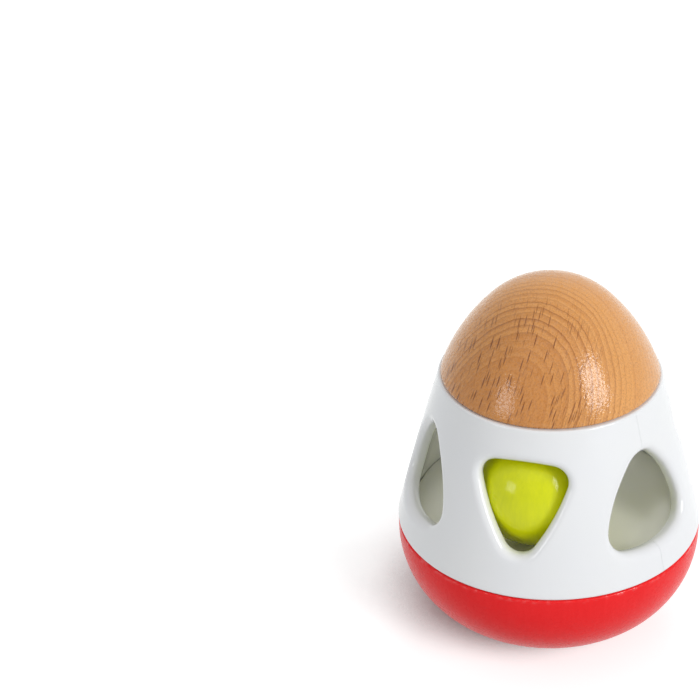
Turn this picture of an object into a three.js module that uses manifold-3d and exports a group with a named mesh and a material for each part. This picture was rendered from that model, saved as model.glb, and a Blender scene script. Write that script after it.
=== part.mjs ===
// Egg-shaped bell rattle: a red turned bowl, a white shell in two halves with six finger windows,
// a beech cap, and a loose green ball that holds a jingle bell.
// Millimetres, +Z up, origin at the centre of the flat foot. Azimuth 0 points along -Y and grows
// towards +X. The two shell halves meet on the plane Y = 0.

import * as THREE from 'three';
import { mergeVertices } from 'three/addons/utils/BufferGeometryUtils.js';
import Module from 'manifold-3d';

const wasm = await Module();
wasm.setup();

// Gaps between pieces
const fit = 0.25; // where one piece seats on, or plugs into, another
const partingGap = 0.1; // between the two shell halves

// Base bowl: flat foot, wide belly, rounded side and a short upright band under the rim
const rimRadius = 37.4;
const rimBand = 2.4;
const rimRound = 0.6;
const sideRadius = 23.8;
const bellyRadius = 54;
const footRadius = 9;

// Shell: a slightly bowed cone with a flange at each end, turned in over the clamp discs
const shellOverhang = 0.2; // how far the shell's foot edge stands outside the bowl's rim
const shellTopRadius = 27;
const shellHeight = 41;
const shellBow = 0.25;
const shellWall = 3.4;
const shellEdgeRound = 0.6;
const flangeThickness = 1.4;
const flangeReach = 2.6;

// Windows: bulged triangles, three point up and three point down, turn about
const windowCount = 6;
const windowFillet = 2.4;
const windowUp = { height: 19.8, halfWidth: 6.9, rise: 11.75, corner: 5.5, side: 30.6, turn: 0 };
const windowDown = { height: 21.6, halfWidth: 6.2, rise: 14.15, corner: 4.24, side: 54, turn: Math.PI };
const firstWindowAzimuth = 90;

// Pegs on the front half that plug into the rear half
const pegRadius = 0.8;
const pegLength = 2;
const footPegHeight = 4;
const topPegDrop = 2.8;

// Cap: flat underside, bowed flank and a round tip
const capInset = 0.4; // how far the cap's edge stays inside the shell's top edge
const capHeight = 24.5;
const capTipRadius = 21.8;
const capFlankRadius = 50;
const capEdgeRound = 0.5;

// Clamp discs, screwed to the wood, whose rims hold the shell's flanges
const discRim = 1.4;
const floorScrewCircle = 23;
const crownScrewCircle = 14;
const screwsPerDisc = 3;
const firstScrewAzimuth = 60;

// Countersunk wood screws
const screwHeadRadius = 2.6;
const screwShankRadius = 1.3;
const screwLength = 13;
const screwTip = 2;

// Steel weight in the bowl, which brings the egg upright again
const ballastRadius = 15;
const ballastThickness = 7.5;
const ballastBevel = 0.6;

// Ball: two turned halves with a lapped joint
const ballRadius = 15;
const ballWall = 2.6;
const ballLap = 1.2;
const ballWindow = 5; // the window that the ball lies in, counted from the first

// Jingle bell loose in the ball
const bellRadius = 8.4;
const bellSheet = 0.6;
const bellFlange = 0.7;
const bellLip = 0.5;
const bellSlotWidth = 1.4;
const bellSlotLength = 10;
const bellSlotEndRadius = 1.2;
const bellEyeRadius = 1.7;
const bellEyeWire = 0.5;
const pelletRadius = 2.4;

// Facets round each kind of piece
const bodyFacets = 48;
const ballFacets = 32;
const bellFacets = 20;
const screwFacets = 12;
const weldDistance = 1e-4;

// Sizes and heights that follow from those above
const shellFootRadius = rimRadius + shellOverhang;
const capRadius = shellTopRadius - capInset;
const bellyDrop = bellyRadius - Math.sqrt(bellyRadius ** 2 - footRadius ** 2);
const bellyRise = Math.sqrt((bellyRadius - sideRadius) ** 2 - (rimRadius - sideRadius) ** 2);
const baseTop = bellyRadius - bellyDrop - bellyRise + rimBand;
const shellFoot = baseTop + fit;
const shellTop = shellFoot + shellHeight;
const capFoot = shellTop + fit;
const discThickness = flangeThickness + fit + discRim;
const floorTop = shellFoot + discThickness;
const pocketDepth = ballastThickness + 2 * fit;
const ballCentre = floorTop + fit + ballRadius;
const ballCavity = ballRadius - ballWall;
const bellDrop = ballCavity - bellRadius - fit;
const pelletDrop = bellRadius - bellSheet - pelletRadius - fit;

// The bowed flank is an arc through the foot and top edges of the shell
const flankRun = new THREE.Vector2(shellTopRadius - shellFootRadius, shellHeight);
const flankRadius = (flankRun.lengthSq() / 4 + shellBow ** 2) / (2 * shellBow);
const flankOut = new THREE.Vector2(flankRun.y, -flankRun.x).normalize();
const flankCentre = new THREE.Vector2(shellFootRadius, shellFoot)
  .addScaledVector(flankRun, 0.5)
  .addScaledVector(flankOut, shellBow - flankRadius);
const wallRun = shellWall / flankOut.x;

const red = new THREE.MeshStandardMaterial({ color: 0xe02a2c, roughness: 0.35, metalness: 0 });
const white = new THREE.MeshStandardMaterial({ color: 0xf2f2f0, roughness: 0.2, metalness: 0 });
const beech = new THREE.MeshStandardMaterial({ color: 0xd09a62, roughness: 0.45, metalness: 0 });
const green = new THREE.MeshStandardMaterial({ color: 0xbcd00a, roughness: 0.35, metalness: 0 });
const steel = new THREE.MeshStandardMaterial({ color: 0xb4b6b8, roughness: 0.35, metalness: 1 });
const brass = new THREE.MeshStandardMaterial({ color: 0xc8a24a, roughness: 0.3, metalness: 1 });

// Profile points

function point(x, y) {
  return new THREE.Vector2(x, y);
}

function arc(centre, radius, from, to, steps) {
  return Array.from({ length: steps + 1 }, (_, i) => {
    const angle = THREE.MathUtils.lerp(from, to, i / steps);
    return point(centre.x + radius * Math.cos(angle), centre.y + radius * Math.sin(angle));
  });
}

// Solids

function closed(geometry) {
  geometry.deleteAttribute('normal');
  geometry.deleteAttribute('uv');
  const merged = mergeVertices(geometry, weldDistance);
  const corners = Array.from(merged.index.array);
  const kept = [];
  for (let i = 0; i < corners.length; i += 3) {
    const [a, b, c] = corners.slice(i, i + 3);
    if (a !== b && b !== c && c !== a) kept.push(a, b, c);
  }
  merged.setIndex(kept);
  return merged;
}

function solid(geometry) {
  const vertProperties = Float32Array.from(geometry.attributes.position.array);
  const triVerts = Uint32Array.from(geometry.index.array);
  return new wasm.Manifold(new wasm.Mesh({ numProp: 3, vertProperties, triVerts }));
}

// A profile in (radius, height), counterclockwise, turned round the Z axis
function turned(profile, facets) {
  return solid(closed(new THREE.LatheGeometry(profile, facets).rotateX(Math.PI / 2)));
}

// A stack of loops of equal length, joined by quads and closed by a fan at each end
function lofted(loops) {
  const count = loops[0].length;
  const middles = [loops[0], loops.at(-1)].map((loop) => {
    const sum = loop.reduce((total, p) => total.add(p), new THREE.Vector3());
    return sum.divideScalar(count);
  });
  const geometry = new THREE.BufferGeometry().setFromPoints([...loops.flat(), ...middles]);
  const [firstMiddle, lastMiddle] = [loops.length * count, loops.length * count + 1];
  const faces = [];
  for (let i = 0; i < count; i += 1) {
    const next = (i + 1) % count;
    for (let k = 0; k + 1 < loops.length; k += 1) {
      const [low, high] = [k * count, (k + 1) * count];
      faces.push(low + i, low + next, high + next, low + i, high + next, high + i);
    }
    const last = (loops.length - 1) * count;
    faces.push(firstMiddle, next, i, lastMiddle, last + i, last + next);
  }
  geometry.setIndex(faces);
  return solid(geometry);
}

// A round bar along Z from height `from` to height `to`
function bar(radius, from, to, facets) {
  return turned([point(0, from), point(radius, from), point(radius, to), point(0, to)], facets);
}

function box(width, depth, height, centre) {
  const geometry = new THREE.BoxGeometry(width, depth, height);
  return solid(closed(geometry.translate(centre.x, centre.y, centre.z)));
}

function piece(name, body, material) {
  const { vertProperties, triVerts } = body.getMesh();
  const geometry = new THREE.BufferGeometry();
  geometry.setAttribute('position', new THREE.BufferAttribute(vertProperties, 3));
  geometry.setIndex(new THREE.BufferAttribute(triVerts, 1));
  geometry.computeVertexNormals();
  const mesh = new THREE.Mesh(geometry, material);
  mesh.name = name;
  return mesh;
}

// Places round the axis

function outward(azimuth) {
  const angle = THREE.MathUtils.degToRad(azimuth);
  return new THREE.Vector3(Math.sin(angle), -Math.cos(angle), 0);
}

function ringOf(count, radius, firstAzimuth) {
  return Array.from({ length: count }, (_, i) =>
    outward(firstAzimuth + (i * 360) / count).multiplyScalar(radius));
}

// Screws and the holes they take

// A countersunk screw whose head is flush with height 0 and whose shank points down; `grow` widens
// it into the hole that it passes through
function screwBody(grow) {
  const shank = screwShankRadius + grow;
  const head = screwHeadRadius + grow;
  const neck = screwShankRadius - screwHeadRadius;
  return turned([
    point(0, -screwLength - grow),
    point(shank, screwTip - screwLength),
    point(shank, neck),
    point(head, 0),
    point(head, grow),
    point(0, grow),
  ], screwFacets);
}

const screwPlaces = {
  floor: ringOf(screwsPerDisc, floorScrewCircle, firstScrewAzimuth),
  crown: ringOf(screwsPerDisc, crownScrewCircle, firstScrewAzimuth),
};

function withScrewHoles(body, places, headHeight) {
  return places.reduce(
    (rest, place) => rest.subtract(screwBody(fit).translate(place.x, place.y, headHeight)),
    body,
  );
}

// Base bowl

function baseBowl() {
  const sideCentre = point(rimRadius - sideRadius, baseTop - rimBand);
  const bellyCentre = point(0, bellyRadius - bellyDrop);
  const footAngle = -Math.acos(footRadius / bellyRadius);
  const tangent = -Math.atan2(bellyRise, rimRadius - sideRadius);
  const pocketRadius = ballastRadius + fit;
  const profile = [
    point(0, 0),
    ...arc(bellyCentre, bellyRadius, footAngle, tangent, 5),
    ...arc(sideCentre, sideRadius, tangent, 0, 7).slice(1),
    ...arc(point(rimRadius - rimRound, baseTop - rimRound), rimRound, 0, Math.PI / 2, 2),
    point(pocketRadius, baseTop),
    point(pocketRadius, baseTop - pocketDepth),
    point(0, baseTop - pocketDepth),
  ];
  return withScrewHoles(turned(profile, bodyFacets), screwPlaces.floor, floorTop);
}

function ballastDisc() {
  const low = baseTop - pocketDepth + fit;
  const high = low + ballastThickness;
  return turned([
    point(0, low),
    point(ballastRadius - ballastBevel, low),
    point(ballastRadius, low + ballastBevel),
    point(ballastRadius, high - ballastBevel),
    point(ballastRadius - ballastBevel, high),
    point(0, high),
  ], bodyFacets);
}

// Shell halves

function flankAt(height) {
  const rise = height - flankCentre.y;
  return flankCentre.x + Math.sqrt(flankRadius ** 2 - rise ** 2);
}

function innerAt(height) {
  return flankAt(height) - wallRun;
}

// Steps from one height to another along a wall
function wall(radiusAt, from, to, steps) {
  return Array.from({ length: steps + 1 }, (_, i) => {
    const height = THREE.MathUtils.lerp(from, to, i / steps);
    return point(radiusAt(height), height);
  });
}

const footFlangeTop = shellFoot + flangeThickness;
const topFlangeFoot = shellTop - flangeThickness;
const footFlangeRadius = innerAt(footFlangeTop) - flangeReach;
const topFlangeRadius = innerAt(topFlangeFoot) - flangeReach;

function shellRing() {
  const footRadiusHere = flankAt(shellFoot) - shellEdgeRound;
  const topRadiusHere = flankAt(shellTop) - shellEdgeRound;
  const footRound = point(footRadiusHere, shellFoot + shellEdgeRound);
  const topRound = point(topRadiusHere, shellTop - shellEdgeRound);
  return turned([
    ...arc(footRound, shellEdgeRound, -Math.PI / 2, 0, 2).slice(0, -1),
    ...wall(flankAt, footRound.y, topRound.y, 6),
    ...arc(topRound, shellEdgeRound, 0, Math.PI / 2, 2).slice(1),
    point(topFlangeRadius, shellTop),
    point(topFlangeRadius, topFlangeFoot),
    ...wall(innerAt, topFlangeFoot, footFlangeTop, 6),
    point(footFlangeRadius, footFlangeTop),
    point(footFlangeRadius, shellFoot),
    point(footRadiusHere, shellFoot),
  ], bodyFacets);
}

// Bulged triangle, point up, as three corner arcs joined by three shallow side arcs
function windowOutline(window, grow) {
  const { halfWidth, rise, corner, side } = window;
  const corners = [point(-halfWidth, -rise / 2), point(halfWidth, -rise / 2), point(0, rise / 2)];
  const sideCentres = corners.map((start, i) => {
    const run = corners[(i + 1) % 3].clone().sub(start);
    const inward = point(-run.y, run.x).normalize();
    const reach = Math.sqrt((side - corner) ** 2 - run.lengthSq() / 4);
    return start.clone().addScaledVector(run, 0.5).addScaledVector(inward, reach);
  });
  return corners.flatMap((here, i) => {
    const before = here.clone().sub(sideCentres[(i + 2) % 3]).angle();
    const after = here.clone().sub(sideCentres[i]).angle();
    const turn = THREE.MathUtils.euclideanModulo(after - before, 2 * Math.PI);
    const end = corners[(i + 1) % 3].clone().sub(sideCentres[i]).angle();
    const sweep = THREE.MathUtils.euclideanModulo(end - after, 2 * Math.PI);
    return [
      ...arc(here, corner + grow, before, before + turn, 4),
      ...arc(sideCentres[i], side + grow, after, after + sweep, 3).slice(1, -1),
    ];
  });
}

function windowAt(i) {
  const shape = i % 2 === 0 ? windowUp : windowDown;
  return { shape, azimuth: firstWindowAzimuth + (i * 360) / windowCount };
}

// Gives the function that lays a point of a window's own plane on the flank, sunk by a depth that is
// square to the flank at the window's middle
function windowPlane(window, azimuth) {
  const out = outward(azimuth);
  const height = shellFoot + window.height;
  const lean = Math.asin((height - flankCentre.y) / flankRadius);
  const across = new THREE.Vector3(-out.y, out.x, 0);
  const up = new THREE.Vector3(0, 0, Math.cos(lean)).addScaledVector(out, -Math.sin(lean));
  const square = new THREE.Vector3(0, 0, Math.sin(lean)).addScaledVector(out, Math.cos(lean));
  const centre = new THREE.Vector3(0, 0, height).addScaledVector(out, flankAt(height));
  const spin = [Math.cos(window.turn), Math.sin(window.turn)];
  return ({ x, y }, depth) => {
    const place = centre.clone()
      .addScaledVector(across, x * spin[0] - y * spin[1])
      .addScaledVector(up, x * spin[1] + y * spin[0]);
    for (let pass = 0; pass < 5; pass += 1) {
      const short = flankAt(place.z) - Math.hypot(place.x, place.y);
      place.addScaledVector(square, short * Math.cos(lean));
    }
    return place.addScaledVector(square, -depth);
  };
}

// The tool that cuts one window: the outline sinks square to the flank, and opens in a fillet that
// keeps its depth all round because each loop is laid on the flank itself
function windowCutter(window, azimuth) {
  const onFlank = windowPlane(window, azimuth);
  const clear = 1; // how far the fillet's tangent runs on past the flank
  const toolReach = window.halfWidth + window.corner; // clears the flank's bulge within the outline
  const filletEnd = Math.PI / 3; // where the fillet's arc gives way to its tangent
  const fillet = arc(point(windowFillet, windowFillet), windowFillet, Math.PI, Math.PI + filletEnd, 2)
    .map(({ x, y }) => ({ grow: x, depth: y }));
  const { grow, depth } = fillet.at(-1);
  const mouth = grow + (depth + clear) * Math.tan(filletEnd);
  const levels = [
    { grow: 0, depth: shellWall + clear },
    ...fillet,
    { grow: mouth, depth: -clear },
    { grow: mouth, depth: -toolReach },
  ];
  return lofted(levels.map((level) =>
    windowOutline(window, level.grow).map((place) => onFlank(place, level.depth))));
}

function shellWithWindows() {
  let shell = shellRing();
  for (let i = 0; i < windowCount; i += 1) {
    const { shape, azimuth } = windowAt(i);
    shell = shell.subtract(windowCutter(shape, azimuth));
  }
  return shell;
}

// Pegs and their holes lie along Y, in the middle of the wall at both ends of the parting line
function pegs(grow) {
  const heights = [shellFoot + footPegHeight, shellTop - topPegDrop];
  const rods = heights.flatMap((height) => [-1, 1].map((side) => {
    const middle = side * (flankAt(height) - wallRun / 2);
    const rod = bar(pegRadius + grow, -pegLength, pegLength + grow, screwFacets);
    return rod.rotate([-90, 0, 0]).translate(middle, 0, height);
  }));
  return rods.reduce((all, rod) => all.add(rod));
}

function shellHalves() {
  const whole = shellWithWindows();
  const reach = 2 * shellFootRadius;
  const middle = (shellFoot + shellTop) / 2;
  const half = (side) => {
    const centre = new THREE.Vector3(0, (side * (reach + partingGap)) / 2, middle);
    return whole.intersect(box(2 * reach, reach, 2 * shellHeight, centre));
  };
  return { front: half(-1).add(pegs(0)), rear: half(1).subtract(pegs(fit)) };
}

// Clamp discs: the body sits on the wood inside the flange, the rim reaches over the flange.
// Height 0 is the face on the wood, and the disc grows upwards into the chamber

function clampDisc(bodyRadius, rimRadiusHere, places) {
  const step = flangeThickness + fit;
  const profile = [
    point(0, 0),
    point(bodyRadius, 0),
    point(bodyRadius, step),
    point(rimRadiusHere, step),
    point(rimRadiusHere, discThickness),
    point(0, discThickness),
  ];
  return withScrewHoles(turned(profile, bodyFacets), places, discThickness);
}

function floorDisc() {
  const rim = innerAt(floorTop) - fit;
  return clampDisc(footFlangeRadius - fit, rim, screwPlaces.floor).translate(0, 0, shellFoot);
}

function crownDisc() {
  const rim = innerAt(topFlangeFoot) - fit;
  const places = screwPlaces.crown.map((place) => new THREE.Vector3(place.x, -place.y, 0));
  const disc = clampDisc(topFlangeRadius - fit, rim, places);
  return disc.rotate([180, 0, 0]).translate(0, 0, shellTop);
}

// Cap

function woodCap() {
  const tipCentre = point(0, capHeight - capTipRadius);
  const edge = point(capRadius, 0);
  const run = edge.clone().sub(tipCentre);
  const inner = capFlankRadius - capTipRadius;
  const along = (inner ** 2 - capFlankRadius ** 2 + run.lengthSq()) / (2 * run.length());
  const aside = Math.sqrt(inner ** 2 - along ** 2);
  const unit = run.clone().normalize();
  const bowCentre = tipCentre.clone()
    .addScaledVector(unit, along)
    .addScaledVector(point(unit.y, -unit.x), aside);
  const start = edge.clone().sub(bowCentre);
  const from = Math.atan2(start.y + capEdgeRound, start.x);
  const tangent = tipCentre.clone().sub(bowCentre).angle();
  const profile = [
    point(0, 0),
    point(capRadius - capEdgeRound, 0),
    ...arc(bowCentre, capFlankRadius, from, tangent, 5),
    ...arc(tipCentre, capTipRadius, tangent, Math.PI / 2, 7).slice(1, -1),
    point(0, capHeight),
  ];
  const cap = turned(profile, bodyFacets).translate(0, 0, capFoot);
  return screwPlaces.crown.reduce((rest, place) => {
    const hole = screwBody(fit).rotate([180, 0, 0]);
    return rest.subtract(hole.translate(place.x, place.y, shellTop - discThickness));
  }, cap);
}

// Ball, round its own centre

// Where the ball lies: on the floor disc, and out against the inner edge of its window
function ballPlace() {
  const { shape, azimuth } = windowAt(ballWindow);
  const onFlank = windowPlane(shape, azimuth);
  const edge = windowOutline(shape, 0).map((place) => onFlank(place, shellWall));
  const sides = edge.map((start, i) => new THREE.Line3(start, edge[(i + 1) % edge.length]));
  const at = (orbit) => outward(azimuth).multiplyScalar(orbit).setZ(ballCentre);
  const gapAt = (orbit) => {
    const centre = at(orbit);
    const reach = sides.map((side) =>
      side.closestPointToPoint(centre, true, new THREE.Vector3()).distanceTo(centre));
    return Math.min(...reach) - ballRadius;
  };
  let [free, blocked] = [0, flankAt(ballCentre)];
  while (blocked - free > weldDistance) {
    const middle = (free + blocked) / 2;
    if (gapAt(middle) > fit) free = middle;
    else blocked = middle;
  }
  return at(free);
}

function ballLower() {
  const middle = ballRadius - ballWall / 2;
  const start = -Math.asin(ballLap / ballCavity);
  return turned([
    ...arc(point(0, 0), ballRadius, -Math.PI / 2, 0, 8),
    point(middle, 0),
    point(middle, -ballLap),
    ...arc(point(0, 0), ballCavity, start, -Math.PI / 2, 6),
  ], ballFacets);
}

function ballUpper() {
  const tongue = ballRadius - ballWall / 2 - fit;
  const low = fit - ballLap;
  return turned([
    ...arc(point(0, 0), ballCavity, Math.PI / 2, Math.asin(low / ballCavity), 6),
    point(tongue, low),
    point(tongue, fit),
    ...arc(point(0, 0), ballRadius, Math.asin(fit / ballRadius), Math.PI / 2, 8),
  ], ballFacets);
}

// Jingle bell, round its own centre: a plain upper cup with an eye, and a slotted lower cup whose
// rim is rolled over the upper one's flange

function bellUpper() {
  const inner = bellRadius - bellSheet;
  const flangeEdge = bellRadius + bellFlange;
  const cup = turned([
    ...arc(point(0, 0), inner, Math.PI / 2, Math.asin(fit / inner), 6),
    point(flangeEdge, fit),
    point(flangeEdge, fit + bellSheet),
    ...arc(point(0, 0), bellRadius, Math.asin((fit + bellSheet) / bellRadius), Math.PI / 2, 6),
  ], bellFacets);
  const eye = new THREE.TorusGeometry(bellEyeRadius, bellEyeWire, 8, 16);
  eye.rotateX(Math.PI / 2).translate(0, 0, bellRadius + bellEyeRadius);
  return cup.add(solid(closed(eye)));
}

function bellLower() {
  const inner = bellRadius - bellSheet;
  const rollInside = bellRadius + bellFlange + fit;
  const rollTop = bellSheet + 2 * fit;
  const cup = turned([
    ...arc(point(0, 0), bellRadius, -Math.PI / 2, -Math.asin(bellSheet / bellRadius), 6),
    point(rollInside + bellLip, -bellSheet),
    point(rollInside + bellLip, rollTop),
    point(rollInside, rollTop),
    point(rollInside, 0),
    ...arc(point(0, 0), inner, 0, -Math.PI / 2, 6),
  ], bellFacets);
  const below = new THREE.Vector3(0, 0, -bellRadius);
  const holeFoot = -1.5 * bellRadius; // well clear of the cup
  const ends = bellSlotLength / 2;
  const hole = (x, y) => bar(bellSlotEndRadius, holeFoot, -bellSheet, screwFacets)
    .translate(x, y, 0);
  return cup
    .subtract(box(bellSlotLength, bellSlotWidth, bellRadius, below))
    .subtract(box(bellSlotWidth, bellSlotLength, bellRadius, below))
    .subtract(hole(ends, 0))
    .subtract(hole(-ends, 0))
    .subtract(hole(0, ends))
    .subtract(hole(0, -ends));
}

function pellet() {
  return turned(arc(point(0, 0), pelletRadius, -Math.PI / 2, Math.PI / 2, 6), screwFacets);
}

// Assembly

const { front, rear } = shellHalves();

const egg = new THREE.Group();
egg.add(piece('base_bowl', baseBowl(), red));
egg.add(piece('ballast_disc', ballastDisc(), steel));
egg.add(piece('floor_disc', floorDisc(), white));
egg.add(piece('shell_front', front, white));
egg.add(piece('shell_rear', rear, white));
egg.add(piece('crown_disc', crownDisc(), white));
egg.add(piece('wood_cap', woodCap(), beech));

screwPlaces.floor.forEach((place, i) => {
  const screw = piece(`base_screw_${i + 1}`, screwBody(0), steel);
  screw.position.set(place.x, place.y, floorTop);
  egg.add(screw);
});

screwPlaces.crown.forEach((place, i) => {
  const screw = piece(`cap_screw_${i + 1}`, screwBody(0), steel);
  screw.rotation.x = Math.PI;
  screw.position.set(place.x, place.y, shellTop - discThickness);
  egg.add(screw);
});

const bell = new THREE.Group();
bell.position.z = -bellDrop;
bell.add(piece('bell_upper', bellUpper(), brass));
bell.add(piece('bell_lower', bellLower(), brass));
const rollingPellet = piece('bell_pellet', pellet(), steel);
rollingPellet.position.z = -pelletDrop;
bell.add(rollingPellet);

const ball = new THREE.Group();
ball.position.copy(ballPlace());
ball.add(piece('ball_lower', ballLower(), green));
ball.add(piece('ball_upper', ballUpper(), green));
ball.add(bell);

const rattle = new THREE.Group();
rattle.add(egg, ball);

export default rattle;
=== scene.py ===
"""Looks of an egg-shaped bell rattle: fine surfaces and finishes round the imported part.

Sizes are in millimetres, as the part is drawn, and become metres where a mesh is made.
Azimuth 0 points along -Y and grows towards +X.
"""

import math

import bmesh
import bpy
from mathutils import Matrix, Vector

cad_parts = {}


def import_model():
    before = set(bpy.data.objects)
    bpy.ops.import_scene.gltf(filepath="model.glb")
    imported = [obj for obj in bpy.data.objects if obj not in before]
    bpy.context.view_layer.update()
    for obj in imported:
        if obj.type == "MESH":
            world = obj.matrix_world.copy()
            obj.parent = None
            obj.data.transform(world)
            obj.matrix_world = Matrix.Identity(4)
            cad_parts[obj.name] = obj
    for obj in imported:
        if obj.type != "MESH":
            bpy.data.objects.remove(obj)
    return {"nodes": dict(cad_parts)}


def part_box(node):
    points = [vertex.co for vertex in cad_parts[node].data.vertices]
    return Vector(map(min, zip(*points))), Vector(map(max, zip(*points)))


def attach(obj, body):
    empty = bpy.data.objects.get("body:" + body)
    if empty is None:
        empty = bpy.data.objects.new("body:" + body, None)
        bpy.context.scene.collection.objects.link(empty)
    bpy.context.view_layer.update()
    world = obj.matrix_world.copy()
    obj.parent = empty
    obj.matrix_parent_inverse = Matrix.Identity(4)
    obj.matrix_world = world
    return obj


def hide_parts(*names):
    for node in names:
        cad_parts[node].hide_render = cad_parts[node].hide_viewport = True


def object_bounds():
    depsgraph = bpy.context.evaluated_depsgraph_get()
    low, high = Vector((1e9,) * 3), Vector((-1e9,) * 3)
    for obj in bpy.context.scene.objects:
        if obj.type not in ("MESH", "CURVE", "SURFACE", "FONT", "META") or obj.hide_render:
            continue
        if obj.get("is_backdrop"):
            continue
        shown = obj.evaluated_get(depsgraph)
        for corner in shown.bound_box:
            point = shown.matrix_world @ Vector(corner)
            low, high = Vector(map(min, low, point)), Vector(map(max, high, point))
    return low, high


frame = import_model()
cad_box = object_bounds()

MM = 0.001
RIGHT_ANGLE = math.pi / 2

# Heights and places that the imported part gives
BASE_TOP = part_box("base_bowl")[1].z / MM
SHELL_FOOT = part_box("shell_front")[0].z / MM
SHELL_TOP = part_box("shell_front")[1].z / MM
CAP_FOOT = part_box("wood_cap")[0].z / MM
CAP_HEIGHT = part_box("wood_cap")[1].z / MM - CAP_FOOT
BALL_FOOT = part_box("ball_lower")[0] / MM
BALL_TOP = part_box("ball_upper")[1] / MM
BALL_CENTRE = (BALL_FOOT + BALL_TOP) / 2
BALL_RADIUS = (BALL_TOP.z - BALL_FOOT.z) / 2
BALLAST_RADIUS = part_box("ballast_disc")[1].x / MM
BALLAST_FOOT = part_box("ballast_disc")[0].z / MM

# Gaps between pieces. The parting line is drawn finer than the solids have it
FIT = 0.25
PARTING_GAP = 0.04

# Base bowl
RIM_RADIUS = 37.4
RIM_BAND = 2.4
RIM_ROUND = 0.6
SIDE_RADIUS = 23.8
BELLY_RADIUS = 54
FOOT_RADIUS = 9

# Shell. Its wall is a little thicker than the solids', so that its joint with the discs hardly shows
SHELL_FOOT_RADIUS = 37.6
SHELL_TOP_RADIUS = 27
SHELL_BOW = 0.25
SHELL_WALL = 3.55
SHELL_EDGE_ROUND = 0.6
FLANGE_THICKNESS = 1.4
FLANGE_REACH = 2.6

# Windows: bulged triangles, three point up and three point down, turn about
WINDOW_FILLET = 2.4
WINDOW_INNER_ROUND = 0.3
WINDOW_UP = {"height": 19.8, "half_width": 6.9, "rise": 11.75, "corner": 5.5, "side": 30.6, "turn": 1}
WINDOW_DOWN = {"height": 21.6, "half_width": 6.2, "rise": 14.15, "corner": 4.24, "side": 54, "turn": -1}
WINDOW_STEP = 60
UP_AZIMUTHS = (90, 210, 330)

# A half shell has two whole windows between two that the parting plane cuts: the side that each keeps
HALF_SHELL_SIDES = (1, 0, 0, -1)

# Cap
CAP_RADIUS = 26.6
CAP_TIP_RADIUS = 21.8
CAP_FLANK_RADIUS = 50
CAP_EDGE_ROUND = 0.5

# Ball
BALL_WALL = 2.6

# Fineness of the surfaces
TURN_STEPS = 192
ARC_STEPS = 24
ROUND_STEPS = 6
FILLET_STEPS = 8
INNER_ROUND_STEPS = 3
WALL_SEARCH_STEPS = 6
CELL_HALF_STEPS = 14
CELL_SIDE_STEPS = 34
CELL_RINGS = 9
OUTLINE_STEPS = 32
SHARP_ANGLE = math.radians(40)
WELD = 2e-6

# Camera, fitted to the seams and the outline of the object in the photograph
CAMERA_AZIMUTH = 42
CAMERA_ELEVATION = 35.0
CAMERA_DISTANCE = 591.7
CAMERA_AIM_RIGHT = -50.58
CAMERA_AIM_UP = 39.48
CAMERA_ROLL = -2.13
CAMERA_LENS = 120.86
CAMERA_CLIP = (0.01, 100)

# Colours, as linear values
BEECH_PALE = (0.84, 0.4, 0.122)
BEECH_WARM = (0.66, 0.27, 0.068)
BEECH_RING = (0.32, 0.1, 0.02)
BEECH_FLECK = (0.24, 0.072, 0.016)
WHITE_COOL = (0.868, 0.876, 0.9)
WHITE_WARM = (0.882, 0.887, 0.9)
# The inner discs' white is lighter and warmer than the shell's: painted light, standing in for the warm
# light inside the chamber
CHAMBER_PAINTED_LIGHT_COOL = (0.94, 0.935, 0.88)
CHAMBER_PAINTED_LIGHT_WARM = (0.95, 0.94, 0.87)
RED_DEEP = (0.9, 0.019, 0.022)
RED_BRIGHT = (0.95, 0.026, 0.029)
GREEN_DEEP = (0.66, 0.71, 0.002)
GREEN_BRIGHT = (0.78, 0.81, 0.003)
STEEL = (0.6, 0.6, 0.61)
STEEL_SHADE = (0.48, 0.48, 0.49)
BRASS = (0.8, 0.6, 0.26)
BRASS_SHADE = (0.62, 0.43, 0.16)

# Beech figure, in millimetres: the pith runs in front of the cap, a little to the camera's left, and leans
# right and back. A span goes from one radius or noise level to another, and may name the values there
PITH_OFFSET = 32
PITH_LEFT = 20
PITH_HEIGHT = 84
PITH_LEAN = (0.33, 0.2, 0.92)
RING_SPACING = 1.5
RING_SHARPNESS = 4.0
RING_DRIFT = 3.0
RING_WAVER = 0.6
RING_START = (12.0, 18.0)
RING_FADE = (36.0, 22.0, 0.3, 1.0)
RING_GROUPS = (0.35, 0.6, 0.35, 0.95)
HEART_WARMTH = (30.0, 9.0, -0.3, 0.3)
WARMTH_SPAN = (0.2, 0.8)
STREAK_SPAN = (0.45, 0.72, 0.0, 0.5)
RAY_SIZE = (0.46, 6, 5.2)
RAY_EDGE = (0.38, 0.2)
RAY_CHANCE = (0.1, 0.4)
RAY_FADE = (30.0, 18.0)
RAY_DARKNESS = 0.95
RAY_SINK = -0.5
DRIFT_PER_MM = (0.05, 0.05, 0.02)
WAVER_PER_MM = (0.35, 0.35, 0.05)
STREAKS_PER_MM = (3.2, 3.2, 0.12)
PORES_PER_MM = (5.0, 5.0, 0.9)
WOOD_ROUGHNESS = (0.3, 0.46)
LACQUER_GRAIN = (0.4, 0.62, 0.3, 1.0)

# Other finishes
NOISE_CORE = (0.35, 0.65)
NOISE_SPAN = (0.3, 0.7)
PLASTIC_ROUGHNESS = (0.12, 0.2)
GRAIN_PER_MM = (0.9, 0.9, 0.12)
PEEL_SHARE = 0.6
PAINT_ROUGHNESS_SHARES = (0.8, 1.25)
RIM_PATCHES = (0.5, 0.64)
RIM_GLOSS_DEPTHS = (1.1, 0.4)
RIM_COAT_ROUGHNESS = 0.08
MARKS_PER_MM = (0.3, 0.3, 6.0)
TARNISH_SPAN = (0.4, 0.7)
METAL_ROUGHNESS_SHARES = (0.75, 1.3)

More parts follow.
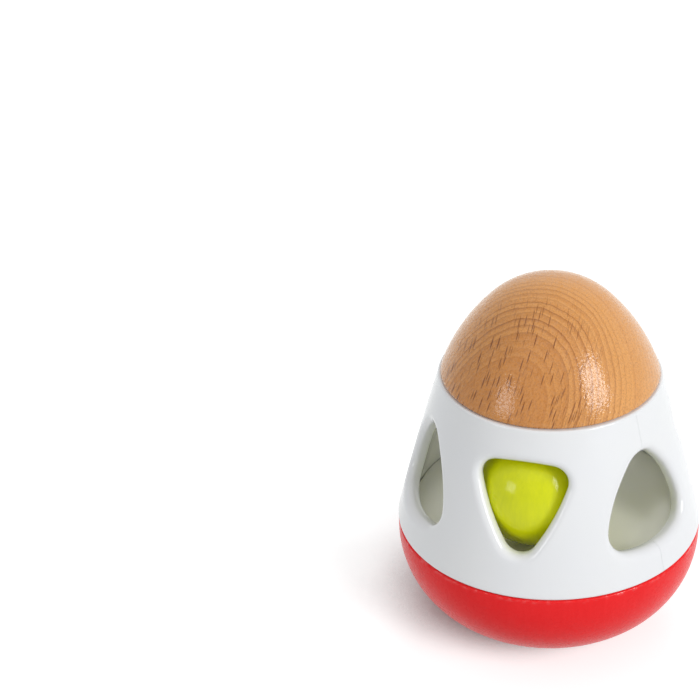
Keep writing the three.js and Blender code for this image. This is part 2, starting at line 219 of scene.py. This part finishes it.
# Stage, with lengths in metres
WHITE_LIGHT = (1, 1, 1, 1)
WORLD_LIGHT = 0.47
FLOOR_HALF = 4.0
FLOOR_COLOUR = (0.59, 0.62, 0.62, 1)
FLOOR_GLOW = 0.66
# The floor's seen emission dims with occlusion towards the key lamp: a painted shadow, with its reach in
# metres and the span of openness over which it fades in
FLOOR_PAINTED_SHADOW_REACH = 0.065
FLOOR_PAINTED_SHADOW_SPAN = (0.45, 0.655)

# Softboxes: azimuth from the camera's side, elevation, distance in metres, width, height, watts
SOFTBOXES = {
    "key_right": (53, 25, 1.2, 0.48, 0.54, 6.8),
    "fill_left": (-47, 17, 1.2, 0.34, 0.34, 1.5),
    "overhead_front": (-8, 62, 1.4, 1.5, 1.2, 1.2),
    "back": (176, 38, 1.2, 0.5, 0.4, 2.8),
}


# Points and profiles


def polar(radius, azimuth, height):
    """The point at a radius, an azimuth in degrees and a height."""
    angle = math.radians(azimuth)
    return Vector((radius * math.sin(angle), -radius * math.cos(angle), height))


def lerp(a, b, share):
    """The value at a share of the way from a to b."""
    return a + (b - a) * share


def arc(centre, radius, start, end, steps):
    """Points on an arc round a centre, between two angles."""
    angles = [lerp(start, end, i / steps) for i in range(steps + 1)]
    return [(centre[0] + radius * math.cos(a), centre[1] + radius * math.sin(a)) for a in angles]


def flank_circle():
    """Centre and radius of the arc that the shell's bowed flank follows."""
    foot = Vector((SHELL_FOOT_RADIUS, SHELL_FOOT))
    run = Vector((SHELL_TOP_RADIUS, SHELL_TOP)) - foot
    radius = (run.length_squared / 4 + SHELL_BOW**2) / (2 * SHELL_BOW)
    out = Vector((run.y, -run.x)).normalized()
    return foot + run / 2 + out * (SHELL_BOW - radius), radius, out


FLANK_CENTRE, FLANK_RADIUS, FLANK_OUT = flank_circle()
WALL_RUN = SHELL_WALL / FLANK_OUT.x


def flank_at(height):
    """The shell's outer radius at a height."""
    return FLANK_CENTRE.x + math.sqrt(FLANK_RADIUS**2 - (height - FLANK_CENTRE.y) ** 2)


def inner_at(height):
    """The shell's inner radius at a height."""
    return flank_at(height) - WALL_RUN


def lean_at(height):
    """How far the flank's outward normal points up, as an angle."""
    return math.asin((height - FLANK_CENTRE.y) / FLANK_RADIUS)


# Meshes


def face(bm, corners):
    """A face through the corners, leaving out any that repeat."""
    kept = list(dict.fromkeys(corners))
    if len(kept) > 2:
        bm.faces.new(kept)


def turned(bm, profile, middle=Vector((0, 0, 0)), steps=TURN_STEPS):
    """A profile of (radius, height) points, turned round an upright axis through the middle."""
    rings = []
    for radius, height in profile:
        count = steps if radius > 0 else 1
        azimuths = [i * 360 / steps for i in range(count)]
        rings.append([bm.verts.new((middle + polar(radius, a, height)) * MM) for a in azimuths])
    for low, high in zip(rings, rings[1:]):
        for i in range(steps):
            j = i + 1
            corners = (low[i % len(low)], low[j % len(low)], high[j % len(high)], high[i % len(high)])
            face(bm, corners)


def dressed(name, bm, body, material, nodes):
    """The finished piece: smooth but for its sharp edges, riding on a body, in place of CAD nodes."""
    bmesh.ops.recalc_face_normals(bm, faces=bm.faces)
    for each in bm.faces:
        each.smooth = True
    for edge in bm.edges:
        edge.smooth = edge.calc_face_angle(0) < SHARP_ANGLE
    mesh = bpy.data.meshes.new(name)
    bm.to_mesh(mesh)
    bm.free()
    mesh.materials.append(material)
    piece = bpy.data.objects.new(name, mesh)
    bpy.context.scene.collection.objects.link(piece)
    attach(piece, body)
    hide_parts(*nodes)


def bowl_mesh():
    """The turned bowl: flat foot, belly, side, upright band, rounded rim and the ballast's pocket."""
    bm = bmesh.new()
    side_centre = (RIM_RADIUS - SIDE_RADIUS, BASE_TOP - RIM_BAND)
    belly_centre = (0, math.sqrt(BELLY_RADIUS**2 - FOOT_RADIUS**2))
    foot_angle = -math.acos(FOOT_RADIUS / BELLY_RADIUS)
    tangent = math.atan2(side_centre[1] - belly_centre[1], side_centre[0])
    rim_centre = (RIM_RADIUS - RIM_ROUND, BASE_TOP - RIM_ROUND)
    pocket_radius = BALLAST_RADIUS + FIT
    pocket_foot = BALLAST_FOOT - FIT
    turned(bm, [
        (0, 0),
        *arc(belly_centre, BELLY_RADIUS, foot_angle, tangent, ARC_STEPS),
        *arc(side_centre, SIDE_RADIUS, tangent, 0, ARC_STEPS)[1:],
        *arc(rim_centre, RIM_ROUND, 0, RIGHT_ANGLE, ROUND_STEPS),
        (pocket_radius, BASE_TOP),
        (pocket_radius, pocket_foot),
        (0, pocket_foot),
    ])
    return bm


def cap_mesh():
    """The turned cap: flat underside, eased edge, bowed flank and round tip."""
    bm = bmesh.new()
    tip = Vector((0, CAP_HEIGHT - CAP_TIP_RADIUS))
    edge = Vector((CAP_RADIUS, 0))
    run = edge - tip
    inner = CAP_FLANK_RADIUS - CAP_TIP_RADIUS
    along = (inner**2 - CAP_FLANK_RADIUS**2 + run.length_squared) / (2 * run.length)
    aside = math.sqrt(inner**2 - along**2)
    unit = run.normalized()
    bow = tip + unit * along + Vector((unit.y, -unit.x)) * aside
    tangent = math.atan2(tip.y - bow.y, tip.x - bow.x)
    start = math.atan2(edge.y - bow.y + CAP_EDGE_ROUND, edge.x - bow.x)
    edge_radius = bow.x + CAP_FLANK_RADIUS * math.cos(start)
    edge_centre = (edge_radius - CAP_EDGE_ROUND, CAP_EDGE_ROUND)
    profile = [
        (0, 0),
        *arc(edge_centre, CAP_EDGE_ROUND, -RIGHT_ANGLE, 0, ROUND_STEPS)[:-1],
        *arc(bow, CAP_FLANK_RADIUS, start, tangent, ARC_STEPS),
        *arc(tip, CAP_TIP_RADIUS, tangent, RIGHT_ANGLE, ARC_STEPS)[1:-1],
        (0, CAP_HEIGHT),
    ]
    turned(bm, profile, Vector((0, 0, CAP_FOOT)))
    return bm


def ball_mesh():
    """The painted ball, hollow for the bell."""
    bm = bmesh.new()
    for radius in (BALL_RADIUS, BALL_RADIUS - BALL_WALL):
        rising = arc((0, 0), radius, -RIGHT_ANGLE, RIGHT_ANGLE, 2 * ARC_STEPS)[1:-1]
        turned(bm, [(0, -radius), *rising, (0, radius)], BALL_CENTRE, TURN_STEPS // 2)
    return bm


# Shell halves


def window_outline(window, grow):
    """Three corner arcs joined by three shallow side arcs, widened by `grow`."""
    half_width, rise, corner, side = (window[k] for k in ("half_width", "rise", "corner", "side"))
    corners = [Vector((-half_width, -rise / 2)), Vector((half_width, -rise / 2)), Vector((0, rise / 2))]
    centres = []
    for i, start in enumerate(corners):
        run = corners[(i + 1) % 3] - start
        inward = Vector((-run.y, run.x)).normalized()
        reach = math.sqrt((side - corner) ** 2 - run.length_squared / 4)
        centres.append(start + run / 2 + inward * reach)
    outline = []
    for i, here in enumerate(corners):
        before, after, end = (
            math.atan2(p.y - q.y, p.x - q.x)
            for p, q in ((here, centres[i - 1]), (here, centres[i]), (corners[(i + 1) % 3], centres[i]))
        )
        turn = (after - before) % math.tau
        sweep = (end - after) % math.tau
        outline += arc(here, corner + grow, before, before + turn, OUTLINE_STEPS)
        outline += arc(centres[i], side + grow, after, after + sweep, OUTLINE_STEPS)[1:-1]
    return [Vector(p) * window["turn"] for p in outline]


def where_ray_meets(outline, angle):
    """The point of a closed outline in a given direction from its middle."""
    ray = Vector((math.cos(angle), math.sin(angle)))
    for a, b in zip(outline, outline[1:] + outline[:1]):
        side_a, side_b = ray.cross(a), ray.cross(b)
        if side_a <= 0 < side_b or side_b <= 0 < side_a:
            hit = a.lerp(b, side_a / (side_a - side_b))
            if hit.dot(ray) > 0:
                return hit
    raise ValueError("the outline does not go round its middle")


class Window:
    """One window of the shell and the cell of wall round it."""

    def __init__(self, shape, azimuth):
        self.shape = shape
        self.azimuth = azimuth
        self.height = SHELL_FOOT + shape["height"]
        self.lean = lean_at(self.height)
        out = polar(1, azimuth, 0)
        rise = Vector((0, 0, 1))
        self.across = Vector((-out.y, out.x, 0))
        self.up = rise * math.cos(self.lean) - out * math.sin(self.lean)
        self.square = rise * math.sin(self.lean) + out * math.cos(self.lean)
        self.middle = polar(flank_at(self.height), azimuth, self.height)

    def on_wall(self, spot, radius_at):
        """A point of the window's own plane, moved square to it onto a wall of the shell."""
        place = self.middle + self.across * spot.x + self.up * spot.y
        for _ in range(WALL_SEARCH_STEPS):
            short = radius_at(place.z) - math.hypot(place.x, place.y)
            place = place + self.square * (short * math.cos(self.lean))
        return place

    def cell(self, low, high, side):
        """(azimuth step, height) points round the cell: all round, or one half from foot to top."""
        half = WINDOW_STEP / 2
        foot = [(half * i / CELL_HALF_STEPS, low) for i in range(CELL_HALF_STEPS + 1)]
        rim = [(half, lerp(low, high, i / CELL_SIDE_STEPS)) for i in range(1, CELL_SIDE_STEPS)]
        top = [(step, high) for step, _ in reversed(foot)]
        right = foot + rim + top
        left = [(-step, height) for step, height in reversed(right)]
        if side:
            return right if side > 0 else left
        return right + left[1:-1]

    def rings(self, limits, inner_limits, side):
        """Rings of points: the outer wall, the fillet, the hole and the inner wall."""
        cell = self.cell(*limits, side)
        run = math.radians(1) * flank_at(self.height)
        angles = [math.atan2(h - self.height, step * run) for step, h in cell]

        def loop(grow, depth, radius_at=flank_at):
            """The window's outline on a wall, widened and sunk square to the window."""
            outline = window_outline(self.shape, grow)
            spots = [where_ray_meets(outline, angle) for angle in angles]
            return [self.on_wall(spot, radius_at) - self.square * depth for spot in spots]

        def spread(edge, cell_edge, radius_at):
            """Rings on a wall, from the window's edge out to the edge of the cell."""
            spots = []
            for place, (step, height) in zip(edge, cell_edge):
                turn = math.degrees(math.atan2(place.x, -place.y)) - self.azimuth
                spots.append(((turn + 180) % 360 - 180, place.z, step, height))
            for i in range(1, CELL_RINGS + 1):
                share = i / CELL_RINGS
                heights = [(lerp(a, b, share), lerp(z, h, share)) for a, z, b, h in spots]
                yield [polar(radius_at(h), self.azimuth + a, h) for a, h in heights]

        wide, fine = WINDOW_FILLET, WINDOW_INNER_ROUND
        fillet = arc((wide, wide), wide, 3 * RIGHT_ANGLE, math.pi, FILLET_STEPS)
        inner = arc((fine, -fine), fine, math.pi, RIGHT_ANGLE, INNER_ROUND_STEPS)
        mouth = loop(WINDOW_FILLET, 0)
        outer_wall = list(spread(mouth, cell, flank_at))
        hole = [loop(grow, depth) for grow, depth in fillet]
        edge = [loop(grow, depth, inner_at) for grow, depth in inner]
        inner_wall = list(spread(edge[-1], self.cell(*inner_limits, side), inner_at))
        return [*reversed(outer_wall), *hole, *edge, *inner_wall]


def shell_mesh(front):
    """One half of the shell, closed on its parting faces."""
    bm = bmesh.new()
    foot_lean, top_lean = lean_at(SHELL_FOOT), lean_at(SHELL_TOP)
    low = SHELL_FOOT + SHELL_EDGE_ROUND * (1 + math.sin(foot_lean))
    high = SHELL_TOP - SHELL_EDGE_ROUND * (1 - math.sin(top_lean))
    inner_low = SHELL_FOOT + FLANGE_THICKNESS
    inner_high = SHELL_TOP - FLANGE_THICKNESS
    foot_round = (flank_at(low) - SHELL_EDGE_ROUND * math.cos(foot_lean), SHELL_FOOT + SHELL_EDGE_ROUND)
    top_round = (flank_at(high) - SHELL_EDGE_ROUND * math.cos(top_lean), SHELL_TOP - SHELL_EDGE_ROUND)
    foot_flange = inner_at(inner_low) - FLANGE_REACH
    top_flange = inner_at(inner_high) - FLANGE_REACH
    foot_strip = [
        (flank_at(low), low),
        *arc(foot_round, SHELL_EDGE_ROUND, foot_lean, -RIGHT_ANGLE, ROUND_STEPS)[1:],
        (foot_flange, SHELL_FOOT),
        (foot_flange, inner_low),
        (inner_at(inner_low), inner_low),
    ]
    top_strip = [
        (flank_at(high), high),
        *arc(top_round, SHELL_EDGE_ROUND, top_lean, RIGHT_ANGLE, ROUND_STEPS)[1:],
        (top_flange, SHELL_TOP),
        (top_flange, inner_high),
        (inner_at(inner_high), inner_high),
    ]
    first = -90 if front else 90
    parting = -PARTING_GAP / 2 if front else PARTING_GAP / 2
    keep = min if front else max

    def vertex(place):
        """A vertex that stays on its half's side of the parting plane."""
        return bm.verts.new(Vector((place.x, keep(place.y, parting), place.z)) * MM)

    def skin(rows, closed):
        """Faces between rows of places, which go all round or not."""
        made = [[vertex(place) for place in row] for row in rows]
        for a, b in zip(made, made[1:]):
            for i in range(len(a) if closed else len(a) - 1):
                j = (i + 1) % len(a)
                face(bm, (a[i], a[j], b[j], b[i]))

    for i, side in enumerate(HALF_SHELL_SIDES):
        azimuth = first + i * WINDOW_STEP
        shape = WINDOW_UP if azimuth % 360 in UP_AZIMUTHS else WINDOW_DOWN
        window = Window(shape, azimuth)
        skin(window.rings((low, high), (inner_low, inner_high), side), not side)
    half_cells = 360 // WINDOW_STEP
    steps = half_cells * CELL_HALF_STEPS
    azimuths = [first + 180 * i / steps for i in range(steps + 1)]
    for strip in (foot_strip, top_strip):
        skin([[polar(radius, a, height) for a in azimuths] for radius, height in strip], False)
    bmesh.ops.remove_doubles(bm, verts=bm.verts, dist=WELD)
    bmesh.ops.holes_fill(bm, edges=[e for e in bm.edges if e.is_boundary], sides=0)
    return bm


# Finishes


class Finish:
    """A material, its shader and the kinds of nodes that the finishes share."""

    def __init__(self, name, **levels):
        self.material = bpy.data.materials.new(name)
        self.material.use_nodes = True
        self.tree = self.material.node_tree
        self.shader = self.tree.nodes["Principled BSDF"]
        for socket, level in levels.items():
            title = socket.replace("_", " ").title().replace("Ior", "IOR")
            self.shader.inputs[title].default_value = level

    def node(self, kind, inputs, **settings):
        """A new node whose inputs are either linked to a socket or set to a value."""
        made = self.tree.nodes.new(kind)
        for key, value in settings.items():
            setattr(made, key, value)
        for key, value in inputs.items():
            if isinstance(value, bpy.types.NodeSocket):
                self.tree.links.new(value, made.inputs[key])
            else:
                made.inputs[key].default_value = value
        return made

    def drive(self, socket, value):
        """Links a value to an input of the shader."""
        self.tree.links.new(value, self.shader.inputs[socket])

    def place(self, origin=(0, 0, 0), turn=(0, 0, 0)):
        """Places on the piece in millimetres, in a frame of their own."""
        spot = self.node("ShaderNodeTexCoord", {}).outputs["Object"]
        frame_inputs = {"Vector": spot, "Location": [x * MM for x in origin], "Rotation": turn}
        local = self.node("ShaderNodeMapping", frame_inputs, vector_type="TEXTURE").outputs[0]
        return self.scaled(local, (1 / MM,) * 3)

    def scaled(self, vector, factors):
        return self.node("ShaderNodeVectorMath", {0: vector, 1: factors}, operation="MULTIPLY").outputs[0]

    def noise(self, vector, scale=1.0, detail=2.0, roughness=0.5):
        inputs = {"Vector": vector, "Scale": scale, "Detail": detail, "Roughness": roughness}
        return self.node("ShaderNodeTexNoise", inputs).outputs["Fac"]

    def math(self, operation, a, b=0.0, c=0.0):
        return self.node("ShaderNodeMath", {0: a, 1: b, 2: c}, operation=operation).outputs[0]

    def remap(self, value, low, high, to_low=0.0, to_high=1.0):
        """A value carried from one span to another and kept within it."""
        inputs = {"Value": value, "From Min": low, "From Max": high, "To Min": to_low, "To Max": to_high}
        return self.node("ShaderNodeMapRange", inputs).outputs["Result"]

    def mixed(self, share, a, b):
        """A colour that goes from a to b as the share goes from 0 to 1."""
        mixer = self.node("ShaderNodeMix", {"Factor": share}, data_type="RGBA")
        for socket, value in zip([s for s in mixer.inputs if s.type == "RGBA"], (a, b)):
            if isinstance(value, bpy.types.NodeSocket):
                self.tree.links.new(value, socket)
            else:
                socket.default_value = (*value, 1)
        return next(s for s in mixer.outputs if s.type == "RGBA")

    def bump(self, height, depth, strength, socket="Normal"):
        """Unevenness with a depth in millimetres, for the shader's surface or its coat."""
        inputs = {"Height": height, "Distance": depth * MM, "Strength": strength}
        self.drive(socket, self.node("ShaderNodeBump", inputs).outputs["Normal"])


def pith_frame():
    """A place on the wood's pith, and the turn that lays a frame's Z along it."""
    place = polar(PITH_OFFSET, CAMERA_AZIMUTH - PITH_LEFT, PITH_HEIGHT)
    right, back, up = PITH_LEAN
    axis = polar(right, CAMERA_AZIMUTH + 90, 0) + polar(back, CAMERA_AZIMUTH + 180, 0) + Vector((0, 0, up))
    side = axis.cross(polar(1, CAMERA_AZIMUTH, 0)).normalized()
    front = side.cross(axis).normalized()
    return place, Matrix((side, front, axis.normalized())).transposed().to_euler()


def beech():
    """Clear-lacquered beech: growth rings round a pith near the front, ray flecks and fine pores."""
    wood = Finish("beech_lacquer", specular_ior_level=0.12, coat_roughness=0.08)
    spot = wood.place(*pith_frame())
    flat = wood.scaled(spot, (1, 1, 0))
    radius = wood.node("ShaderNodeVectorMath", {0: flat}, operation="LENGTH").outputs["Value"]

    drift = wood.noise(wood.scaled(spot, DRIFT_PER_MM))
    waver = wood.noise(wood.scaled(spot, WAVER_PER_MM))
    wavy = wood.math("MULTIPLY_ADD", drift, RING_DRIFT, radius)
    wavy = wood.math("MULTIPLY_ADD", waver, RING_WAVER, wavy)
    turns = wood.math("DIVIDE", wavy, RING_SPACING)
    band = wood.math("MULTIPLY", wood.remap(radius, *RING_START), wood.remap(radius, *RING_FADE))
    ring = wood.math("MULTIPLY", wood.math("POWER", wood.math("FRACT", turns), RING_SHARPNESS), band)
    broad = wood.noise(turns, scale=0.7, detail=1.0)
    heart = wood.remap(radius, *HEART_WARMTH)
    streak = wood.noise(wood.scaled(spot, STREAKS_PER_MM), detail=3.0, roughness=0.6)

    rays = wood.scaled(spot, [1 / size for size in RAY_SIZE])
    cells = wood.node("ShaderNodeTexVoronoi", {"Vector": rays, "Scale": 1.0}).outputs
    chance = wood.node("ShaderNodeSeparateColor", {0: cells["Color"]}).outputs[0]
    fleck = wood.remap(cells["Distance"], *RAY_EDGE)
    fleck = wood.math("MULTIPLY", fleck, wood.remap(chance, *RAY_CHANCE))
    fleck = wood.math("MULTIPLY", fleck, wood.remap(radius, *RAY_FADE))

    warmth = wood.remap(wood.math("ADD", broad, heart), *WARMTH_SPAN)
    colour = wood.mixed(warmth, BEECH_PALE, BEECH_WARM)
    grouped = wood.math("MULTIPLY", ring, wood.remap(broad, *RING_GROUPS))
    colour = wood.mixed(grouped, colour, BEECH_RING)
    colour = wood.mixed(wood.remap(streak, *STREAK_SPAN), colour, BEECH_RING)
    colour = wood.mixed(wood.math("MULTIPLY", fleck, RAY_DARKNESS), colour, BEECH_FLECK)
    wood.drive("Base Color", colour)

    pores = wood.noise(wood.scaled(spot, PORES_PER_MM), detail=3.0, roughness=0.7)
    wood.drive("Roughness", wood.remap(pores, *NOISE_SPAN, *WOOD_ROUGHNESS))
    wood.bump(wood.math("MULTIPLY_ADD", fleck, RAY_SINK, pores), depth=0.03, strength=0.6)
    wood.bump(wood.noise(spot, scale=1.7, detail=1.0), depth=0.06, strength=0.8, socket="Coat Normal")
    wood.drive("Coat Weight", wood.remap(wood.noise(spot, scale=2.2), *LACQUER_GRAIN))
    return wood.material


def white_plastic(name, cool, warm):
    """Glossy moulded plastic with a faint flow in its tone and a barely uneven skin."""
    plastic = Finish(name, coat_weight=0.3, coat_roughness=0.05)
    spot = plastic.place()
    flow = plastic.noise(spot, scale=0.045, detail=3.0)
    plastic.drive("Base Color", plastic.mixed(plastic.remap(flow, *NOISE_CORE), cool, warm))
    smear = plastic.noise(spot, scale=0.3, detail=3.0)
    plastic.drive("Roughness", plastic.remap(smear, *NOISE_SPAN, *PLASTIC_ROUGHNESS))
    plastic.bump(plastic.noise(spot, scale=0.16), depth=0.1, strength=0.12)
    return plastic.material


def paint(name, deep, bright, roughness, gloss):
    """Sprayed paint over turned wood: clouds, grain and orange peel under the gloss."""
    skin = Finish(name, roughness=roughness, specular_ior_level=gloss)
    spot = skin.place()
    cloud = skin.noise(spot, scale=0.09, detail=4.0, roughness=0.6)
    grain = skin.noise(skin.scaled(spot, GRAIN_PER_MM), detail=3.0, roughness=0.65)
    tone = skin.math("MULTIPLY_ADD", grain, 0.5, skin.math("MULTIPLY", cloud, 0.5))
    skin.drive("Base Color", skin.mixed(skin.remap(tone, *NOISE_CORE), deep, bright))
    peel = skin.noise(spot, scale=0.8)
    least, most = (roughness * share for share in PAINT_ROUGHNESS_SHARES)
    skin.drive("Roughness", skin.remap(peel, *NOISE_SPAN, least, most))
    skin.bump(skin.math("MULTIPLY_ADD", peel, PEEL_SHARE, grain), depth=0.06, strength=0.35)
    return skin


def glossy_rim(skin, height):
    """Thicker, glossier paint that has gathered unevenly on a rim at a height."""
    spot = skin.place()
    up = skin.node("ShaderNodeSeparateXYZ", {0: spot}).outputs["Z"]
    patches = skin.remap(skin.noise(spot, scale=0.7), *RIM_PATCHES)
    starts, full = (height - depth for depth in RIM_GLOSS_DEPTHS)
    skin.drive("Coat Weight", skin.math("MULTIPLY", skin.remap(up, starts, full), patches))
    skin.shader.inputs["Coat Roughness"].default_value = RIM_COAT_ROUGHNESS


def metal(name, colour, shade, roughness):
    """Metal with fine turning marks and a slightly uneven sheen."""
    sheen = Finish(name, metallic=1.0, roughness=roughness)
    spot = sheen.place()
    marks = sheen.noise(sheen.scaled(spot, MARKS_PER_MM), detail=3.0, roughness=0.6)
    tarnish = sheen.noise(spot, scale=0.25, detail=4.0, roughness=0.6)
    sheen.drive("Base Color", sheen.mixed(sheen.remap(tarnish, *TARNISH_SPAN), colour, shade))
    least, most = (roughness * share for share in METAL_ROUGHNESS_SHARES)
    sheen.drive("Roughness", sheen.remap(marks, *NOISE_SPAN, least, most))
    sheen.bump(marks, depth=0.02, strength=0.3)
    return sheen.material


# Pieces


def dress():
    """Replaces the faceted solids by fine surfaces and gives every solid that stays its finish."""
    white = white_plastic("white_plastic", WHITE_COOL, WHITE_WARM)
    # The same white plastic, made lighter and warmer for the inner discs: painted light for the inside of
    # the chamber
    chamber_painted_light = white_plastic("white_plastic_chamber_painted_light", CHAMBER_PAINTED_LIGHT_COOL, CHAMBER_PAINTED_LIGHT_WARM)
    red = paint("red_gloss", RED_DEEP, RED_BRIGHT, roughness=0.28, gloss=0.1)
    glossy_rim(red, BASE_TOP)
    green = paint("lime_satin", GREEN_DEEP, GREEN_BRIGHT, roughness=0.13, gloss=0.3)
    steel = metal("zinc_plated_steel", STEEL, STEEL_SHADE, roughness=0.32)
    brass = metal("polished_brass", BRASS, BRASS_SHADE, roughness=0.24)
    dressed("cap_turned", cap_mesh(), "egg", beech(), ["wood_cap"])
    dressed("bowl_painted", bowl_mesh(), "egg", red.material, ["base_bowl"])
    dressed("shell_front_moulded", shell_mesh(True), "egg", white, ["shell_front"])
    dressed("shell_rear_moulded", shell_mesh(False), "egg", white, ["shell_rear"])
    ball_nodes = ["ball_upper", "ball_lower"]
    dressed("ball_painted", ball_mesh(), "ball", green.material, ball_nodes)
    kept = {
        # Painted light: the inner discs take the lighter, warmer white
        chamber_painted_light: ["floor_disc", "crown_disc"],
        steel: ["ballast_disc", "bell_pellet"],
        brass: ["bell_upper", "bell_lower"],
    }
    kept[steel] += [f"{place}_screw_{i}" for place in ("base", "cap") for i in (1, 2, 3)]
    for material, names in kept.items():
        for name in names:
            node = frame["nodes"][name]
            node.data.materials.clear()
            node.data.materials.append(material)


# Stage


def direction(azimuth, elevation):
    """The direction at an azimuth from the camera's side and an elevation, both in degrees."""
    tilt = math.radians(elevation)
    return polar(math.cos(tilt), CAMERA_AZIMUTH + azimuth, math.sin(tilt))


def seen_or_reflected(tree):
    """A value that is 1 on camera, mirror and glass rays, and 0 on the rays that light the object."""
    path = tree.nodes.new("ShaderNodeLightPath")
    total = path.outputs["Is Camera Ray"]
    for name in ("Is Glossy Ray", "Is Transmission Ray"):
        either = tree.nodes.new("ShaderNodeMath")
        either.operation = "MAXIMUM"
        tree.links.new(total, either.inputs[0])
        tree.links.new(path.outputs[name], either.inputs[1])
        total = either.outputs[0]
    return total


def floor():
    """A pale floor that keeps the lamps' shadow, and glows up to white where it is seen and open to the
    key; where the part stands towards the key it glows less, a painted shadow.
    """
    bm = bmesh.new()
    bmesh.ops.create_grid(bm, x_segments=1, y_segments=1, size=FLOOR_HALF)
    mesh = bpy.data.meshes.new("floor")
    bm.to_mesh(mesh)
    bm.free()
    pale = Finish("floor_white_painted_shadow", base_color=FLOOR_COLOUR, roughness=0.9, specular_ior_level=0.0)
    pale.shader.inputs["Emission Color"].default_value = WHITE_LIGHT
    key = direction(*SOFTBOXES["key_right"][:2])
    # Openness towards the key lamp scales the floor's emission: a painted shadow of the part on the floor
    towards_key = pale.node("ShaderNodeCombineXYZ", dict(enumerate(key))).outputs[0]
    painted_shadow_inputs = {"Normal": towards_key, "Distance": FLOOR_PAINTED_SHADOW_REACH}
    openness_for_painted_shadow = pale.node("ShaderNodeAmbientOcclusion", painted_shadow_inputs).outputs["AO"]
    emission_with_painted_shadow = pale.remap(openness_for_painted_shadow, *FLOOR_PAINTED_SHADOW_SPAN, 0.0, FLOOR_GLOW)
    pale.drive("Emission Strength", pale.math("MULTIPLY", seen_or_reflected(pale.tree), emission_with_painted_shadow))
    mesh.materials.append(pale.material)
    plane = bpy.data.objects.new("floor", mesh)
    bpy.context.scene.collection.objects.link(plane)
    plane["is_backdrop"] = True


def world():
    """Even white surroundings: white where seen, dimmer as a light."""
    made = bpy.data.worlds.new("studio")
    bpy.context.scene.world = made
    made.use_nodes = True
    tree = made.node_tree
    background = tree.nodes["Background"]
    background.inputs["Color"].default_value = WHITE_LIGHT
    level = tree.nodes.new("ShaderNodeMapRange")
    level.inputs["To Min"].default_value = WORLD_LIGHT
    tree.links.new(seen_or_reflected(tree), level.inputs["Value"])
    tree.links.new(level.outputs[0], background.inputs["Strength"])


def lamps():
    """Softboxes round the object. The one behind it lights the chamber, and no mirror ray sees it."""
    for name, (azimuth, elevation, distance, width, height, power) in SOFTBOXES.items():
        box = bpy.data.lights.new(name, "AREA")
        box.shape = "RECTANGLE"
        box.size = width
        box.size_y = height
        box.energy = power
        away = direction(azimuth, elevation)
        holder = bpy.data.objects.new(name, box)
        holder.location = Vector((0, 0, SHELL_FOOT * MM)) + away * distance
        holder.rotation_euler = (-away).to_track_quat("-Z", "Y").to_euler()
        holder.visible_glossy = name != "back"
        bpy.context.scene.collection.objects.link(holder)


def camera():
    """The photograph's view, with the object low at the right of the frame."""
    back = direction(0, CAMERA_ELEVATION)
    right = polar(1, CAMERA_AZIMUTH + 90, 0)
    up = back.cross(right)
    seam = Vector((0, 0, SHELL_FOOT))
    place = seam + back * CAMERA_DISTANCE
    aim = seam + right * CAMERA_AIM_RIGHT + up * CAMERA_AIM_UP
    forward = (aim - place).normalized()
    level = forward.cross(Vector((0, 0, 1))).normalized()
    rise = level.cross(forward)
    roll = math.radians(CAMERA_ROLL)
    across = level * math.cos(roll) + rise * math.sin(roll)
    upright = rise * math.cos(roll) - level * math.sin(roll)
    axes = Matrix((across, upright, -forward)).transposed().to_4x4()
    lens = bpy.data.cameras.new("camera")
    lens.lens = CAMERA_LENS
    lens.clip_start, lens.clip_end = CAMERA_CLIP
    view = bpy.data.objects.new("camera", lens)
    view.matrix_world = Matrix.Translation(place * MM) @ axes
    bpy.context.scene.collection.objects.link(view)
    bpy.context.scene.camera = view


dress()
floor()
world()
lamps()
camera()
bpy.context.scene.view_settings.view_transform = "Standard"

boxes = {"cad": cad_box, "visual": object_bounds()}
{name: [list(corner) for corner in box] for name, box in boxes.items()}
